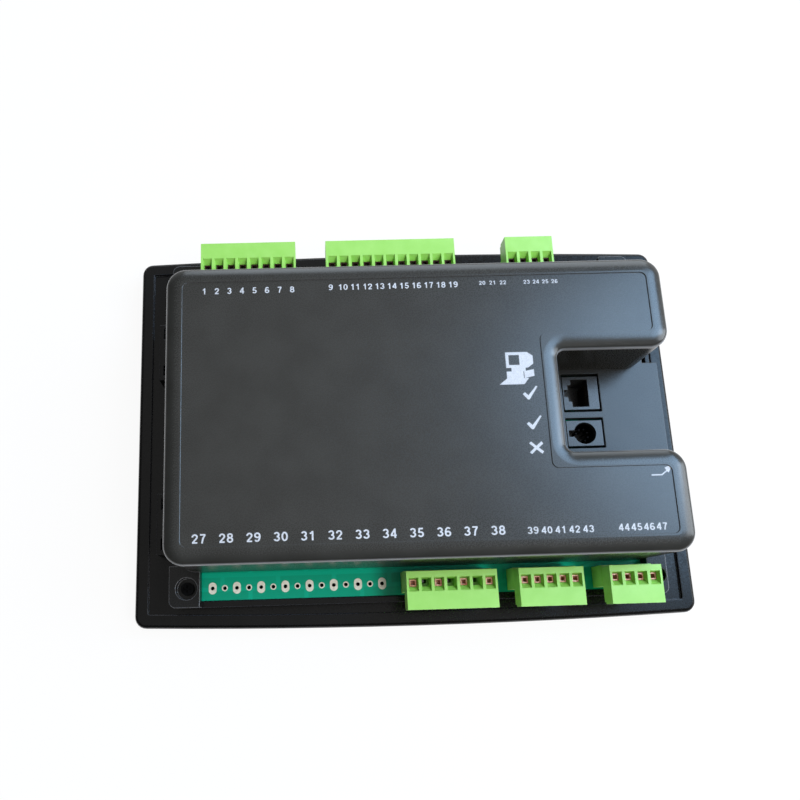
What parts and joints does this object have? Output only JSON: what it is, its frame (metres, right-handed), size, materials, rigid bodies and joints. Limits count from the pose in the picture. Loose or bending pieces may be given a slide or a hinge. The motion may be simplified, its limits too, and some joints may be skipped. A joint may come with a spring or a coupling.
{
  "type": "generator set controller",
  "caption": "Panel-mounted generator controller: wide flanged front case with buttons and display, stepped rear cover with a port notch, green pluggable terminals.",
  "frame": {"origin": "middle of the front rim's footprint, on the plane that the rim rests on", "axes": "+X along the long side, to the right when the rear is seen with terminals 1 to 26 at the top; +Y towards those terminals; +Z from the front rim to the rear cover"},
  "size_m": [0.24, 0.172, 0.057],
  "materials": {
    "case_black": "satin moulded",
    "cover_black": "fine grain moulded",
    "terminal_green": "moulded polyamide",
    "board_green": "solder mask on laminate",
    "pad_tin": "tinned",
    "clamp_copper": "bare copper alloy",
    "plated_steel": "plated",
    "black_steel": "blackened",
    "port_grey": "moulded",
    "contact_gold": "gold flash",
    "overlay_grey": "printed film",
    "window_clear": "clear",
    "lcd_green": "laminated glass",
    "diffuser_white": "diffuser",
    "switch_black": "moulded",
    "led_red": "epoxy",
    "button_red": "moulded",
    "button_green": "moulded",
    "button_ivory": "moulded",
    "relay_blue": "moulded",
    "transformer_black": "potted",
    "ferrite_grey": "ferrite",
    "can_sleeve": "sleeved can",
    "disc_orange": "dipped",
    "resistor_tan": "dipped",
    "chip_black": "epoxy",
    "sink_aluminium": "anodised"
  },
  "bodies": {
    "housing": {"front_bezel": "case_black", "body_frame": "case_black", "rear_cover": "cover_black", "port_floor": "cover_black", "cover_tabs": "cover_black", "header_1_8": "terminal_green", "header_9_19": "terminal_green", "header_23_26": "terminal_green", "header_35_38": "terminal_green", "header_39_43": "terminal_green", "header_44_47": "terminal_green", "plug_1_8": "terminal_green", "plug_9_19": "terminal_green", "plug_23_26": "terminal_green", "plug_35_38": "terminal_green", "plug_39_43": "terminal_green", "plug_44_47": "terminal_green", "main_board": "board_green", "display_board": "board_green", "solder_pads": "pad_tin", "wire_clamps": "clamp_copper", "clamp_screws": "plated_steel", "header_pins": "plated_steel", "port_shield": "plated_steel", "port_pins": "plated_steel", "display_screws": "plated_steel", "board_screws": "plated_steel", "lcd_frame": "plated_steel", "clock_crystal": "plated_steel", "case_screws": "black_steel", "modular_jack": "port_grey", "round_port": "port_grey", "jack_contacts": "contact_gold", "facia_overlay": "overlay_grey", "display_window": "window_clear", "lcd_panel": "lcd_green", "lcd_backlight": "diffuser_white", "key_switches": "switch_black", "board_link": "switch_black", "indicator_leds": "led_red", "relays": "relay_blue", "sense_transformers": "transformer_black", "supply_inductor": "ferrite_grey", "filter_capacitors": "can_sleeve", "surge_suppressors": "disc_orange", "divider_resistors": "resistor_tan", "processor": "chip_black", "interface_chips": "chip_black", "regulator": "sink_aluminium"},
    "stop_button": {"stop_button": "button_red"},
    "manual_button": {"manual_button": "button_ivory"},
    "test_button": {"test_button": "button_ivory"},
    "auto_button": {"auto_button": "button_ivory"},
    "start_button": {"start_button": "button_green"},
    "scroll_up_key": {"scroll_up_key": "button_ivory"},
    "scroll_down_key": {"scroll_down_key": "button_ivory"}
  },
  "joints": [
    {"name": "stop_button_press", "type": "slide", "parent": "housing", "child": "stop_button", "axis": [0, 0, 1], "range_m": [0, 0.0008], "stiffness_N_per_m": 1500},
    {"name": "manual_button_press", "type": "slide", "parent": "housing", "child": "manual_button", "axis": [0, 0, 1], "range_m": [0, 0.0008], "stiffness_N_per_m": 1500},
    {"name": "test_button_press", "type": "slide", "parent": "housing", "child": "test_button", "axis": [0, 0, 1], "range_m": [0, 0.0008], "stiffness_N_per_m": 1500},
    {"name": "auto_button_press", "type": "slide", "parent": "housing", "child": "auto_button", "axis": [0, 0, 1], "range_m": [0, 0.0008], "stiffness_N_per_m": 1500},
    {"name": "start_button_press", "type": "slide", "parent": "housing", "child": "start_button", "axis": [0, 0, 1], "range_m": [0, 0.0008], "stiffness_N_per_m": 1500},
    {"name": "scroll_up_key_press", "type": "slide", "parent": "housing", "child": "scroll_up_key", "axis": [0, 0, 1], "range_m": [0, 0.0008], "stiffness_N_per_m": 1500},
    {"name": "scroll_down_key_press", "type": "slide", "parent": "housing", "child": "scroll_down_key", "axis": [0, 0, 1], "range_m": [0, 0.0008], "stiffness_N_per_m": 1500}
  ]
}
